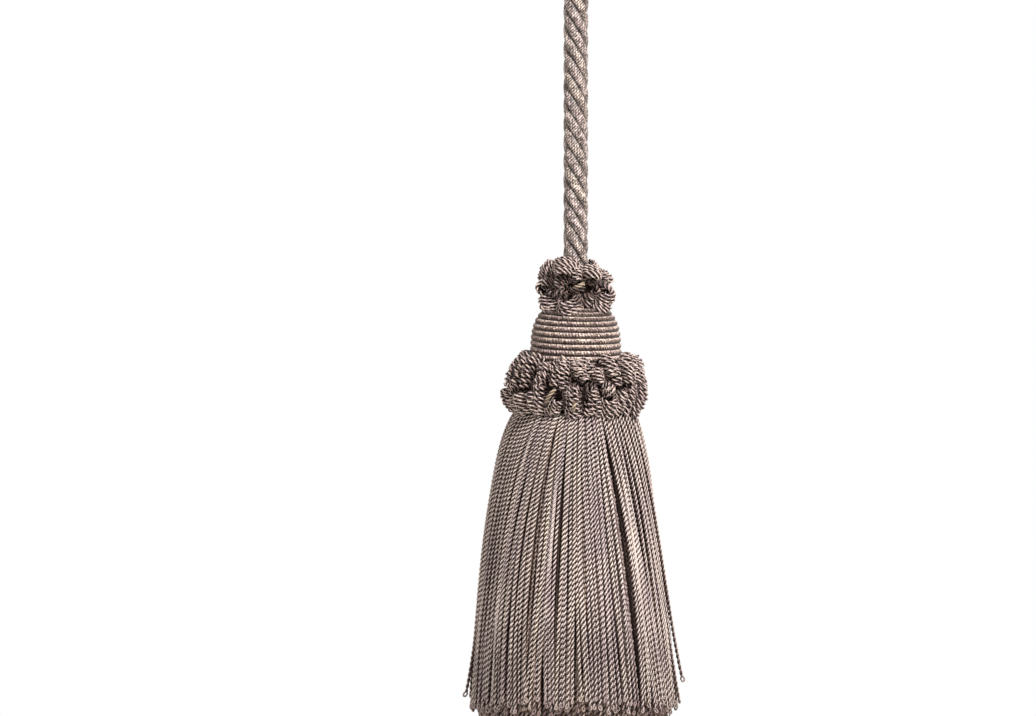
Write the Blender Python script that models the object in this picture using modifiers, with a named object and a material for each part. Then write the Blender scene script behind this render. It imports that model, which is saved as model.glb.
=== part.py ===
"""A hanging tassel of twisted yarn, at real size in metres, with +Z up and its front towards -Y.

A short five-strand cord ends in an eye at the top. Below it come a small looped ruff, a
bell-shaped head wound with cord, a larger looped ruff and a skirt of hanging strands.
Sizes are in millimetres, and heights are counted from the skirt's hem. The origin is the
inside of the eye's top, where a hook bears, and the tassel hangs straight below it.
"""

import math
import random
from collections import namedtuple

import bmesh
import bpy
from mathutils import Matrix, Vector

MM = 0.001
MERGE = 0.00002
CLEARANCE = 0.3
SHARP_ANGLE = math.radians(40)
DISPLAY_GAMMA = 2.2

# The cord: five strands in an S twist, so that the front of each one climbs to the left.
CORD_RADIUS = 4.0
CORD_GROOVE = 3.0
CORD_PITCH = 31.2
CORD_STRANDS = 5
CORD_STEP = 2.8
CORD_LOBE_HALF_ANGLE = math.radians(15)
ROUTE_SAMPLES = 24

# It leaves the head at its top, turns round the eye and comes back beside itself.
EYE_INSIDE_TOP = 304.0
EYE_LEG = 8.8
Route = namedtuple("Route", "across height")
CORD_ROUTE = [
    Route(0.0, 136.7),
    Route(0.0, 165.0),
    Route(0.0, 195.0),
    Route(0.0, 225.0),
    Route(0.0, 240.0),
    Route(0.0, 247.0),
    Route(0.0, 254.5),
    Route(-1.8, 262.0),
    Route(-6.4, 268.6),
    Route(-11.5, 275.0),
    Route(-16.6, 281.6),
    Route(-18.8, 290.0),
    Route(-16.3, 299.4),
    Route(-9.4, 306.3),
    Route(0.0, 308.8),
    Route(9.4, 306.3),
    Route(16.3, 299.4),
    Route(18.8, 290.0),
    Route(17.0, 281.6),
    Route(14.2, 273.7),
    Route(11.4, 265.9),
    Route(9.2, 258.4),
    Route(EYE_LEG, 251.4),
    Route(EYE_LEG, 245.9),
    Route(EYE_LEG, 240.4),
]

# The whipping: turns of thread that close the eye.
WHIPPING_FOOT = 241.6
WHIPPING_TOP = 250.6
WHIPPING_TURNS = 5
WHIPPING_WALL = 0.9
WHIPPING_RIDGE = 0.45
WHIPPING_ARC_STEPS = 6
RIDGE_SHARES = (0.96, 0.7, 0.3)

# The head: a bell whose shoulder is a superellipse, with a ridge for each turn of its winding.
HEAD_FOOT = 111.3
HEAD_SHOULDER = 120.0
HEAD_TOP = 136.4
HEAD_FOOT_RADIUS = 15.4
HEAD_RADIUS = 15.2
HEAD_RISE = 17.6
HEAD_POWER = 2.2
HEAD_SAMPLES = 400
WINDING_PITCH = 2.1
WINDING_RIDGE = 0.4
WINDING_POINTS = 2
HEAD_STEPS = 26

# The skirt: rings of strands under a heading. A station is a share of the way from the heading
# to the hem, and the first one lies inside the heading. The hem rises at the front and the back.
SKIRT_TOP = 99.5
STRAND_RADIUS = 0.66
STRAND_SIDES = 3
SPREAD_POWER = 0.62
CLUMPS = 13
CLUMP_PHASE = 0.7
CLUMP_AT_ROOT = 0.06
CLUMP_AT_HEM = 0.28
Wave = namedtuple("Wave", "size count phase")
SWAY = Wave(1.1, 2, 1.1)
SWELL = Wave(0.8, 3, 0.4)
HEM_JITTER = 1.7
HEM_RISE = 1.3
SKIRT_SEED = 11
Ring = namedtuple("Ring", "count root hem_radius hem shift stations")
LONG_STATIONS = (-0.015, 0.06, 0.24, 0.60, 1.0)
SHORT_STATIONS = (-0.015, 0.30, 1.0)
SKIRT_RINGS = [
    Ring(68, 19.4, 34.4, 5.0, 0.0, LONG_STATIONS),
    Ring(68, 17.9, 33.2, 3.8, 0.5, LONG_STATIONS),
    Ring(24, 14.0, 25.5, -1.0, 0.0, SHORT_STATIONS),
    Ring(12, 9.0, 16.0, -2.6, 0.5, SHORT_STATIONS),
    Ring(4, 3.5, 6.0, -3.4, 0.0, SHORT_STATIONS),
]

# A few strands of the outer ring stand away at the two sides, by their number in the ring.
Stray = namedtuple("Stray", "outward hem")
STRAYS = {0: Stray(2.6, 10.5), 67: Stray(1.9, 3.4), 34: Stray(1.8, 5.6)}

Profile = namedtuple("Profile", "radius height")
SKIRT_HEADING = [
    Profile(0.0, 111.0),
    Profile(16.5, 111.0),
    Profile(16.5, 104.2),
    Profile(20.4, 101.9),
    Profile(20.9, SKIRT_TOP),
    Profile(0.0, SKIRT_TOP),
]
HEADING_STEPS = 36

# The ruffs: rows of looped petals on a band. A petal runs out through the bends, and back
# through them on its other side, so the last bend is its tip.
Bend = namedtuple("Bend", "radius height aside thickness")
Row = namedtuple("Row", "count shift bends")
Band = namedtuple("Band", "inside outside foot top steps")
Ruff = namedtuple("Ruff", "band rows flatness seed")

SKIRT_RUFF = Ruff(
    Band(16.8, 18.2, 104.6, 113.0, 32),
    [
        Row(26, 0.0, [
            Bend(17.4, 107.2, 1.0, 0.8),
            Bend(22.6, 107.8, 1.3, 1.1),
            Bend(24.1, 104.4, 1.4, 1.15),
            Bend(23.6, 101.6, 1.25, 0.95),
            Bend(23.2, 100.3, 0.0, 0.95),
        ]),
        Row(26, 0.5, [
            Bend(17.4, 111.2, 1.0, 0.8),
            Bend(22.6, 110.7, 1.3, 1.1),
            Bend(23.3, 114.2, 1.3, 1.02),
            Bend(20.0, 118.9, 1.15, 0.8),
            Bend(19.0, 120.2, 0.0, 0.85),
        ]),
    ],
    flatness=1.0,
    seed=8,
)
TOP_RUFF = Ruff(
    Band(4.4, 6.0, 136.7, 143.4, 20),
    [
        Row(8, 0.0, [
            Bend(5.5, 138.9, 1.05, 0.85),
            Bend(9.2, 139.8, 1.8, 1.55),
            Bend(12.1, 137.9, 2.1, 1.8),
            Bend(12.9, 135.2, 1.6, 1.7),
            Bend(13.1, 133.9, 0.0, 1.5),
        ]),
        Row(8, 0.5, [
            Bend(5.5, 142.1, 1.05, 0.85),
            Bend(8.9, 143.2, 1.8, 1.5),
            Bend(11.4, 146.2, 2.1, 1.8),
            Bend(10.6, 149.6, 1.6, 1.7),
            Bend(9.9, 151.0, 0.0, 1.5),
        ]),
    ],
    flatness=0.75,
    seed=5,
)
PETAL_LIFT = 0.5
PETAL_BULGE = 0.4
PETAL_LEAN = 0.25


def level(height):
    """Z in metres of a height in millimetres above the hem."""
    return (height - EYE_INSIDE_TOP) * MM


def place(radius, height, azimuth, aside=0.0):
    """A point given by its distance from the axis, height, direction and sideways shift."""
    x = radius * math.cos(azimuth) - aside * math.sin(azimuth)
    y = radius * math.sin(azimuth) + aside * math.cos(azimuth)
    return Vector((x * MM, y * MM, level(height)))


def clear_scene():
    for obj in list(bpy.data.objects):
        bpy.data.objects.remove(obj, do_unlink=True)


def new_collection(name):
    collection = bpy.data.collections.new(name)
    bpy.context.scene.collection.children.link(collection)
    return collection


def yarn(name, red, green, blue, roughness):
    """A plain yarn material from a colour in 0 to 255 display values."""
    material = bpy.data.materials.new(name)
    material.use_nodes = True
    shader = material.node_tree.nodes["Principled BSDF"]
    linear = [(value / 255) ** DISPLAY_GAMMA for value in (red, green, blue)]
    shader.inputs["Base Color"].default_value = (*linear, 1.0)
    shader.inputs["Roughness"].default_value = roughness
    shader.inputs["Metallic"].default_value = 0.0
    return material


def turned(name, profile, steps, collection, closed=False):
    """A solid turned about Z from a profile that runs from top to bottom down its outer side."""
    mesh = bpy.data.meshes.new(name)
    points = [(p.radius * MM, 0.0, level(p.height)) for p in profile]
    edges = [(i, i + 1) for i in range(len(points) - 1)]
    if closed:
        edges.append((len(points) - 1, 0))
    mesh.from_pydata(points, edges, [])
    obj = bpy.data.objects.new(name, mesh)
    collection.objects.link(obj)
    screw = obj.modifiers.new("turn", "SCREW")
    screw.axis = "Z"
    screw.steps = steps
    screw.render_steps = steps
    screw.use_merge_vertices = True
    screw.merge_threshold = MERGE
    return obj


def section(name, points, guides):
    """A closed outline that a path is swept with, from (x, y) pairs in millimetres."""
    curve = bpy.data.curves.new(name, "CURVE")
    curve.dimensions = "2D"
    spline = curve.splines.new("POLY")
    spline.points.add(len(points) - 1)
    for target, (x, y) in zip(spline.points, points):
        target.co = (x * MM, y * MM, 0.0, 1.0)
    spline.use_cyclic_u = True
    obj = bpy.data.objects.new(name, curve)
    guides.objects.link(obj)
    obj.hide_render = True
    obj.display_type = "WIRE"
    return obj


def polygon(sides, radius):
    """Corners of a regular polygon, as (x, y) pairs."""
    turns = [2 * math.pi * (i + 0.5) / sides for i in range(sides)]
    return [(radius * math.cos(turn), radius * math.sin(turn)) for turn in turns]


def sweep(paths, outline, scales=None, tilts=None, cyclic=False):
    """A mesh of the outline swept along each path, with its caps welded on."""
    curve = bpy.data.curves.new("sweep", "CURVE")
    curve.dimensions = "3D"
    curve.twist_mode = "MINIMUM"
    curve.bevel_mode = "OBJECT"
    curve.bevel_object = outline
    curve.use_fill_caps = not cyclic
    for number, path in enumerate(paths):
        spline = curve.splines.new("POLY")
        spline.points.add(len(path) - 1)
        spline.use_cyclic_u = cyclic
        for i, (target, point) in enumerate(zip(spline.points, path)):
            target.co = (*point, 1.0)
            target.radius = scales[number][i] if scales else 1.0
            target.tilt = tilts[i] if tilts else 0.0
    swept_curve = bpy.data.objects.new("sweep", curve)
    bpy.context.scene.collection.objects.link(swept_curve)
    evaluated = swept_curve.evaluated_get(bpy.context.evaluated_depsgraph_get())
    mesh = bpy.data.meshes.new_from_object(evaluated)
    bpy.data.objects.remove(swept_curve, do_unlink=True)
    shape = bmesh.new()
    shape.from_mesh(mesh)
    bmesh.ops.remove_doubles(shape, verts=shape.verts, dist=MERGE)
    bmesh.ops.recalc_face_normals(shape, faces=shape.faces)
    shape.to_mesh(mesh)
    shape.free()
    return mesh


def add_object(name, mesh, collection):
    mesh.name = name
    obj = bpy.data.objects.new(name, mesh)
    collection.objects.link(obj)
    return obj


def fuse(backing, strands):
    """Joins the strands' roots into their backing."""
    union = backing.modifiers.new("fuse", "BOOLEAN")
    union.operation = "UNION"
    union.solver = "EXACT"
    union.object = strands
    strands.hide_render = True
    strands.display_type = "WIRE"


def finish(obj, material):
    obj.data.materials.clear()
    obj.data.materials.append(material)
    obj.data.shade_smooth()
    obj.data.set_sharp_from_angle(angle=SHARP_ANGLE)


def smooth_route(route, step):
    """Points an even step apart on a cubic B-spline that starts and ends with the route."""
    knots = [Vector((p.across * MM, 0.0, level(p.height))) for p in route]
    knots = [2 * knots[0] - knots[1], *knots, 2 * knots[-1] - knots[-2]]
    dense = []
    for before, start, end, after in zip(knots, knots[1:], knots[2:], knots[3:]):
        for i in range(ROUTE_SAMPLES):
            t = i / ROUTE_SAMPLES
            near_start = 3 * t ** 3 - 6 * t ** 2 + 4
            near_end = 1 + 3 * t + 3 * t ** 2 - 3 * t ** 3
            outer = before * (1 - t) ** 3 + after * t ** 3
            dense.append((outer + start * near_start + end * near_end) / 6)
    dense.append(knots[-2])
    runs = [0.0]
    for start, end in zip(dense, dense[1:]):
        runs.append(runs[-1] + (end - start).length)
    count = round(runs[-1] / (step * MM))
    points = []
    at = 0
    for i in range(count + 1):
        run = runs[-1] * i / count
        while at < len(dense) - 2 and runs[at + 1] < run:
            at += 1
        share = (run - runs[at]) / (runs[at + 1] - runs[at])
        points.append(dense[at].lerp(dense[at + 1], share))
    return points, runs[-1]


def make_cord(collection, guides):
    """Strands laid round each other in an S twist, in one solid with its grooves."""
    outline = []
    for strand in range(CORD_STRANDS):
        middle = 2 * math.pi * strand / CORD_STRANDS
        for angle, radius in (
            (-CORD_LOBE_HALF_ANGLE, CORD_RADIUS),
            (CORD_LOBE_HALF_ANGLE, CORD_RADIUS),
            (math.pi / CORD_STRANDS, CORD_GROOVE),
        ):
            outline.append((radius * math.cos(middle + angle), radius * math.sin(middle + angle)))
    path, length = smooth_route(CORD_ROUTE, CORD_STEP)
    turn = -2 * math.pi * length / (CORD_PITCH * MM * (len(path) - 1))
    tilts = [turn * i for i in range(len(path))]
    shape = section("cord_section", outline, guides)
    return add_object("hanging_cord", sweep([path], shape, tilts=tilts), collection)


def make_whipping(collection, guides):
    """Turns of thread around both legs of the eye, as one ribbed ring."""
    inner = CORD_RADIUS + CLEARANCE
    turn_height = (WHIPPING_TOP - WHIPPING_FOOT) / WHIPPING_TURNS
    outline = [(-WHIPPING_WALL, WHIPPING_FOOT), (-WHIPPING_WALL, WHIPPING_TOP)]
    for turn in reversed(range(WHIPPING_TURNS)):
        foot = WHIPPING_FOOT + turn * turn_height
        groove, above, below = (foot + share * turn_height for share in RIDGE_SHARES)
        outline.append((0.0, groove))
        outline.append((WHIPPING_RIDGE, above))
        outline.append((WHIPPING_RIDGE, below))
    outline.append((0.0, WHIPPING_FOOT))
    middle = (WHIPPING_FOOT + WHIPPING_TOP) / 2
    outline = [(out, height - middle) for out, height in outline]
    radius = inner + WHIPPING_WALL
    path = []
    for centre, start in ((EYE_LEG, -math.pi / 2), (0.0, math.pi / 2)):
        for i in range(WHIPPING_ARC_STEPS + 1):
            angle = start + math.pi * i / WHIPPING_ARC_STEPS
            x = centre + radius * math.cos(angle)
            path.append(Vector((x * MM, radius * math.sin(angle) * MM, level(middle))))
    shape = section("whipping_section", outline, guides)
    return add_object("eye_whipping", sweep([path], shape, cyclic=True), collection)


def head_radius(height):
    """Radius of the bell-shaped head under its winding."""
    if height < HEAD_SHOULDER:
        share = (HEAD_SHOULDER - height) / (HEAD_SHOULDER - HEAD_FOOT)
        return HEAD_RADIUS + (HEAD_FOOT_RADIUS - HEAD_RADIUS) * share
    rise = (height - HEAD_SHOULDER) / HEAD_RISE
    return HEAD_RADIUS * (1 - rise ** HEAD_POWER) ** (1 / HEAD_POWER)


def make_head(collection):
    """The bell-shaped head, with one ridge for each turn of the cord wound on it."""
    fine = [Profile(head_radius(HEAD_TOP), HEAD_TOP)]
    for i in range(1, HEAD_SAMPLES + 1):
        height = HEAD_TOP - (HEAD_TOP - HEAD_FOOT) * i / HEAD_SAMPLES
        fine.append(Profile(head_radius(height), height))
    runs = [0.0]
    for above, below in zip(fine, fine[1:]):
        runs.append(runs[-1] + math.hypot(below.radius - above.radius, below.height - above.height))
    turns = round(runs[-1] / WINDING_PITCH)
    profile = [Profile(0.0, HEAD_TOP), fine[0]]
    last = turns * WINDING_POINTS
    for i in range(1, last):
        run = runs[-1] * i / last
        at = next(k for k, value in enumerate(runs) if value >= run)
        out = WINDING_RIDGE if i % WINDING_POINTS else 0.0
        above, below = fine[at - 1], fine[at]
        slope = math.atan2(above.height - below.height, below.radius - above.radius)
        radius = below.radius + out * math.sin(slope)
        profile.append(Profile(radius, below.height + out * math.cos(slope)))
    profile.append(fine[-1])
    profile.append(Profile(0.0, HEAD_FOOT))
    return turned("wound_head", profile, HEAD_STEPS, collection)


def petal_path(row, chance):
    """Path and thickness of one looped petal at +X, out from the band, round its tip and back."""
    lift = chance.uniform(-PETAL_LIFT, PETAL_LIFT)
    bulge = chance.uniform(-PETAL_BULGE, PETAL_BULGE)
    lean = chance.uniform(-PETAL_LEAN, PETAL_LEAN)
    last = len(row.bends) - 1
    path, thickness = [], []
    for side, order in ((1, range(last + 1)), (-1, reversed(range(last)))):
        for i in order:
            bend = row.bends[i]
            share = i / last
            radius = bend.radius + bulge * share
            aside = side * bend.aside + lean * share
            path.append(place(radius, bend.height + lift * share, 0.0, aside))
            thickness.append(bend.thickness)
    return path, thickness


def make_ruff(name, ruff, collection, guides):
    """A narrow band with a row of looped petals standing up and another hanging down."""
    chance = random.Random(ruff.seed)
    band = ruff.band
    ring = turned(name, [
        Profile(band.inside, band.top),
        Profile(band.outside, band.top),
        Profile(band.outside, band.foot),
        Profile(band.inside, band.foot),
    ], band.steps, collection, closed=True)
    corners = [(-1, -ruff.flatness), (1, -ruff.flatness), (1, ruff.flatness), (-1, ruff.flatness)]
    outline = section(name + "_section", corners, guides)
    petals = bmesh.new()
    for row in ruff.rows:
        for number in range(row.count):
            path, thickness = petal_path(row, chance)
            petal = sweep([path], outline, scales=[thickness])
            azimuth = 2 * math.pi * (number + row.shift) / row.count - math.pi / 2
            petal.transform(Matrix.Rotation(azimuth, 4, "Z"))
            petals.from_mesh(petal)
            bpy.data.meshes.remove(petal)
    mesh = bpy.data.meshes.new(name)
    petals.to_mesh(mesh)
    petals.free()
    fuse(ring, add_object(name + "_petals", mesh, guides))
    return ring


def wave(shape, azimuth):
    return shape.size * math.sin(shape.count * azimuth + shape.phase)


def strand_path(ring, number, azimuth, jitter):
    """One hanging strand of the skirt, from inside the heading to its own end at the hem."""
    hem = ring.hem + jitter - HEM_RISE * math.cos(2 * azimuth)
    hem_radius = ring.hem_radius
    if ring is SKIRT_RINGS[0] and number in STRAYS:
        hem = STRAYS[number].hem
        hem_radius += STRAYS[number].outward
    path = []
    for station in ring.stations:
        share = max(station, 0.0)
        clump = (CLUMP_AT_ROOT + (CLUMP_AT_HEM - CLUMP_AT_ROOT) * share) / CLUMPS
        turn = azimuth + clump * math.sin(CLUMPS * azimuth + CLUMP_PHASE)
        sway = wave(SWAY, azimuth) * share ** 2
        swell = wave(SWELL, azimuth) * share
        spread = (hem_radius - ring.root) * share ** SPREAD_POWER
        height = SKIRT_TOP + (hem - SKIRT_TOP) * station
        path.append(place(ring.root + spread + swell, height, turn, sway))
    return path


def make_skirt(collection, guides):
    """The heading under the head, with rings of strands that hang and spread from it."""
    chance = random.Random(SKIRT_SEED)
    heading = turned("skirt", SKIRT_HEADING, HEADING_STEPS, collection)
    paths = []
    for ring in SKIRT_RINGS:
        for number in range(ring.count):
            azimuth = 2 * math.pi * (number + ring.shift) / ring.count
            jitter = chance.uniform(-HEM_JITTER, HEM_JITTER)
            paths.append(strand_path(ring, number, azimuth, jitter))
    shape = section("strand_section", polygon(STRAND_SIDES, STRAND_RADIUS), guides)
    fuse(heading, add_object("skirt_strands", sweep(paths, shape), guides))
    return heading


def build():
    clear_scene()
    tassel = new_collection("tassel")
    guides = new_collection("guides")
    finish(make_cord(tassel, guides), yarn("cord_yarn", 168, 143, 133, 0.7))
    finish(make_whipping(tassel, guides), yarn("whipping_thread", 140, 120, 110, 0.75))
    top_ruff = make_ruff("top_ruff", TOP_RUFF, tassel, guides)
    finish(top_ruff, yarn("top_ruff_yarn", 138, 122, 114, 0.85))
    finish(make_head(tassel), yarn("head_gimp", 150, 134, 126, 0.75))
    skirt_ruff = make_ruff("skirt_ruff", SKIRT_RUFF, tassel, guides)
    finish(skirt_ruff, yarn("skirt_ruff_yarn", 130, 114, 107, 0.85))
    finish(make_skirt(tassel, guides), yarn("skirt_yarn", 158, 143, 134, 0.75))


build()
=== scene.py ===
# %% [markdown]
# # A hanging tassel of twisted yarn
# The object is a soft furnishing trim: a short five-strand cord, a small looped ruff, a bell-shaped
# head wound with gimp, a larger looped ruff and a skirt of two-ply strands.
# Everything soft on it is yarn, so this lesson makes yarn once, as an outline that is swept along a
# line while it turns, and then lays that yarn in the five ways that a maker does.

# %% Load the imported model
import math
from collections import namedtuple

import bpy
import numpy as np
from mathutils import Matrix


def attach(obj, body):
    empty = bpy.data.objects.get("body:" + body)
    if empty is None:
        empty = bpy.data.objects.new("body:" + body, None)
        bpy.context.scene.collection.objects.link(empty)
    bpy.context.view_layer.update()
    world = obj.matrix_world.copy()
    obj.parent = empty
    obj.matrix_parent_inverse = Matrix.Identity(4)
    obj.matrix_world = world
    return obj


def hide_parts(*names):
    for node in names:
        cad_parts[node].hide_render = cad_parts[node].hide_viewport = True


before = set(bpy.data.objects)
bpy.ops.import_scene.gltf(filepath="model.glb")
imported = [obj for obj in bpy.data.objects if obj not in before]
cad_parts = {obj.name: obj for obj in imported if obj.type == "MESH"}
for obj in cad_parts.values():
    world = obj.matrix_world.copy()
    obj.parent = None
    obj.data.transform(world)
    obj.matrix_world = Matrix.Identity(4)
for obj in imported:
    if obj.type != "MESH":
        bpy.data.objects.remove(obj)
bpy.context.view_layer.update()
print("nodes:", ", ".join(sorted(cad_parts)))

# %% [markdown]
# ## Heights, and the camera
# A maker measures a tassel from its hem, so heights below are millimetres above the hem, and `level`
# turns them into the model's metres, which are counted from the inside of the eye's top.
# The picture looks slightly down on the tassel from far away: the turns of the head sag a little, and
# nothing grows or shrinks with depth. A long lens from three metres gives the same. The tassel stands
# right of the picture's middle, so the camera stands left of the tassel and looks straight ahead.

# %% Heights above the hem
MM = 0.001
EYE_INSIDE_TOP = 304.0


def level(height):
    """Z in metres of a height in millimetres above the hem."""
    return (height - EYE_INSIDE_TOP) * MM


# %% Camera
PICTURE_WIDTH_MM = 1036 / 3.0
LOOKS_AT = (-19.25, 118.7)
CAMERA_DISTANCE = 3.0
LOOKS_DOWN = math.radians(5.0)

lens = bpy.data.cameras.new("camera")
lens.sensor_width = 36.0
lens.lens = lens.sensor_width * CAMERA_DISTANCE / (PICTURE_WIDTH_MM * MM)
lens.clip_start = 0.1
lens.clip_end = 20.0
camera = bpy.data.objects.new("camera", lens)
bpy.context.scene.collection.objects.link(camera)
camera.location = (
    LOOKS_AT[0] * MM,
    -CAMERA_DISTANCE * math.cos(LOOKS_DOWN),
    level(LOOKS_AT[1]) + CAMERA_DISTANCE * math.sin(LOOKS_DOWN),
)
camera.rotation_euler = (math.pi / 2 - LOOKS_DOWN, 0.0, 0.0)
bpy.context.scene.camera = camera
print("lens in mm:", round(lens.lens, 1))

# %% [markdown]
# ## Making yarn
# A real yarn is two or more plies laid round each other. It could be made from one tube for each ply,
# or as one outline with a lobe for each ply that turns as it goes along. The second takes half the
# faces and gives the same grooves, so it is used here.
# `carry_frames` finds, at each point of a line, two directions across it that don't spin by themselves.
# All lines of a batch go through it together as one numpy array, which keeps hundreds of strands quick.

# %% Directions across a line
def unit(vectors):
    return vectors / np.maximum(np.linalg.norm(vectors, axis=-1, keepdims=True), 1e-12)


def carry_frames(lines, facing=None):
    """Two directions across each line. The first is carried from point to point without spin, or
    turned towards given directions."""
    along = unit(np.gradient(lines, axis=1))
    if facing is not None:
        sides = unit(facing - along * np.sum(facing * along, axis=2, keepdims=True))
        return sides, np.cross(along, sides)
    upright = np.abs(along[:, 0, 2:3]) > 0.9
    helper = np.where(upright, [[1.0, 0.0, 0.0]], [[0.0, 0.0, 1.0]])
    side = unit(np.cross(along[:, 0], helper))
    sides = np.empty_like(lines)
    for i in range(lines.shape[1]):
        side = unit(side - along[:, i] * np.sum(side * along[:, i], axis=1, keepdims=True))
        sides[:, i] = side
    return sides, np.cross(along, sides)


def runs_of(lines):
    """Length run along each line, from its start to each of its points."""
    steps = np.linalg.norm(np.diff(lines, axis=1), axis=2)
    return np.concatenate([np.zeros((len(lines), 1)), np.cumsum(steps, axis=1)], axis=1)


def twist(lines, pitch, start=0.0):
    """Angle at each point of lines whose yarn turns once in a pitch, in millimetres. It is positive
    for a Z twist and negative for an S twist."""
    return runs_of(lines) * 2 * np.pi / (pitch * MM) + np.reshape(start, (-1, 1))


# %% Sweep an outline along lines
Batch = namedtuple("Batch", "rings runs marks")


def lay_yarn(lines, outline, angle=0.0, size=1.0, facing=None, **marks):
    """Sweeps an outline in millimetres along each line, turned by an angle and scaled by a size at
    each point. Marks are numbers that its finish can read."""
    sides, ups = carry_frames(lines, facing)
    runs = runs_of(lines)
    angle = (np.zeros_like(runs) + angle)[..., None]
    scale = (np.zeros_like(runs) + size)[..., None] * MM
    across = (np.cos(angle) * outline[:, 0] - np.sin(angle) * outline[:, 1]) * scale
    over = (np.sin(angle) * outline[:, 0] + np.cos(angle) * outline[:, 1]) * scale
    rings = lines[:, :, None] + sides[:, :, None] * across[..., None]
    rings = rings + ups[:, :, None] * over[..., None]
    marks = {name: np.zeros_like(runs) + value for name, value in marks.items()}
    return Batch(rings, runs, marks)


# %% [markdown]
# ## From rings of points to a mesh
# Blender can build a mesh from Python lists, but that is slow for some hundred thousand faces.
# Filling its arrays with `foreach_set` is quick. Each yarn gets a UV map whose U goes round it and
# whose V is the length along it in millimetres, so that a finish can tell a groove from a crest. Marks
# become attributes, which a finish can read by name.

# %% Build one mesh from batches of yarn
UV_LAY = "lay"


def tube_faces(lines, rings, corners, base):
    """Corner numbers of the quads and of the two caps of every tube in a batch."""
    index = base + np.arange(lines * rings * corners).reshape(lines, rings, corners)
    ahead = np.roll(index, -1, axis=2)
    quads = np.stack([index[:, :-1], ahead[:, :-1], ahead[:, 1:], index[:, 1:]], axis=-1)
    caps = np.concatenate([index[:, 0, ::-1], index[:, -1]])
    return quads.reshape(-1, 4), caps


def tube_uvs(batch):
    """UV pairs of the same quads and caps."""
    lines, rings, corners = batch.rings.shape[:3]
    turn = np.broadcast_to(np.arange(corners + 1) / corners, (lines, rings, corners + 1))
    grid = np.stack([turn, np.broadcast_to(batch.runs[..., None] / MM, turn.shape)], axis=-1)
    low, high = grid[:, :-1], grid[:, 1:]
    quads = np.stack([low[:, :, :-1], low[:, :, 1:], high[:, :, 1:], high[:, :, :-1]], axis=3)
    caps = np.concatenate([grid[:, 0, -2::-1], grid[:, -1, :-1]])
    return quads.reshape(-1, 2), caps.reshape(-1, 2)


def mark_values(batch, mark):
    """A mark at every point. It is given for each ring, or for each point of each ring."""
    values = batch.marks[mark]
    if values.ndim == 2:
        values = np.repeat(values[..., None], batch.rings.shape[2], axis=2)
    return values.ravel()


def make_piece(name, batches):
    """One smooth mesh object from batches of swept yarn."""
    points, loops, starts, uvs = [], [], [], []
    base = 0
    loop = 0
    for batch in batches:
        lines, rings, corners = batch.rings.shape[:3]
        quads, caps = tube_faces(lines, rings, corners, base)
        quad_uvs, cap_uvs = tube_uvs(batch)
        points.append(batch.rings.reshape(-1, 3))
        loops += [quads.ravel(), caps.ravel()]
        uvs += [quad_uvs, cap_uvs]
        starts.append(loop + 4 * np.arange(len(quads)))
        loop += quads.size
        starts.append(loop + corners * np.arange(len(caps)))
        loop += caps.size
        base += lines * rings * corners
    mesh = bpy.data.meshes.new(name)
    mesh.vertices.add(base)
    mesh.vertices.foreach_set("co", np.concatenate(points).astype(np.float32).ravel())
    mesh.loops.add(loop)
    mesh.loops.foreach_set("vertex_index", np.concatenate(loops).astype(np.int32))
    starts = np.concatenate(starts).astype(np.int32)
    mesh.polygons.add(len(starts))
    mesh.polygons.foreach_set("loop_start", starts)
    layer = mesh.uv_layers.new(name=UV_LAY)
    layer.data.foreach_set("uv", np.concatenate(uvs).astype(np.float32).ravel())
    for mark in batches[0].marks:
        values = [mark_values(batch, mark) for batch in batches]
        attribute = mesh.attributes.new(mark, "FLOAT", "POINT")
        attribute.data.foreach_set("value", np.concatenate(values).astype(np.float32))
    mesh.update(calc_edges=True)
    mesh.shade_smooth()
    piece = bpy.data.objects.new(name, mesh)
    bpy.context.scene.collection.objects.link(piece)
    triangles = loop - 2 * len(starts)
    print(name, "triangles:", triangles)
    return piece


# %% [markdown]
# ## Outlines
# Two plies side by side make a peanut shape. Only eight corners are needed for it, because the shading
# is smooth and a strand is four pixels wide in the picture. Strands that hide behind others have six.
# A lobed ring with many small lobes stands for a thick strand made of many fine yarns.

# %% Outlines in millimetres
TWO_PLY = np.array([
    (0.53, 0.0), (0.35, 0.27), (0.0, 0.15), (-0.35, 0.27),
    (-0.53, 0.0), (-0.35, -0.27), (0.0, -0.15), (0.35, -0.27),
])
TWO_PLY_PLAIN = np.array([
    (0.53, 0.0), (0.16, 0.26), (-0.16, 0.26),
    (-0.53, 0.0), (-0.16, -0.26), (0.16, -0.26),
])


def lobed(radius, lobes, depth):
    """A ring of small lobes, with one corner on each crest and one in each groove."""
    turn = np.pi * np.arange(2 * lobes) / lobes
    reach = np.where(np.arange(2 * lobes) % 2, radius - depth, radius)
    return np.stack([reach * np.cos(turn), reach * np.sin(turn)], axis=1)


def round_outline(radius, sides):
    return lobed(radius, sides // 2, 0.0)


# %% [markdown]
# ## The cord's route
# Something above the picture holds the cord taut, so it runs straight up from the head. Just above the
# picture it turns round and comes back beside itself, which makes an eye to hang it by.
# The route is the one that the CAD model follows: a cubic B-spline, because it bends gently.

# %% Cord route
CORD_FOOT = 136.7
EYE_LEG = 8.8
CORD_ROUTE = [
    (0.0, 136.7), (0.0, 165.0), (0.0, 195.0), (0.0, 225.0), (0.0, 240.0), (0.0, 247.0),
    (0.0, 254.5), (-1.8, 262.0), (-6.4, 268.6), (-11.5, 275.0), (-16.6, 281.6), (-18.8, 290.0),
    (-16.3, 299.4), (-9.4, 306.3), (0.0, 308.8), (9.4, 306.3), (16.3, 299.4), (18.8, 290.0),
    (17.0, 281.6), (14.2, 273.7), (11.4, 265.9), (9.2, 258.4), (EYE_LEG, 251.4),
    (EYE_LEG, 245.9), (EYE_LEG, 240.4),
]
CORD_POINTS = 330


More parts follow.
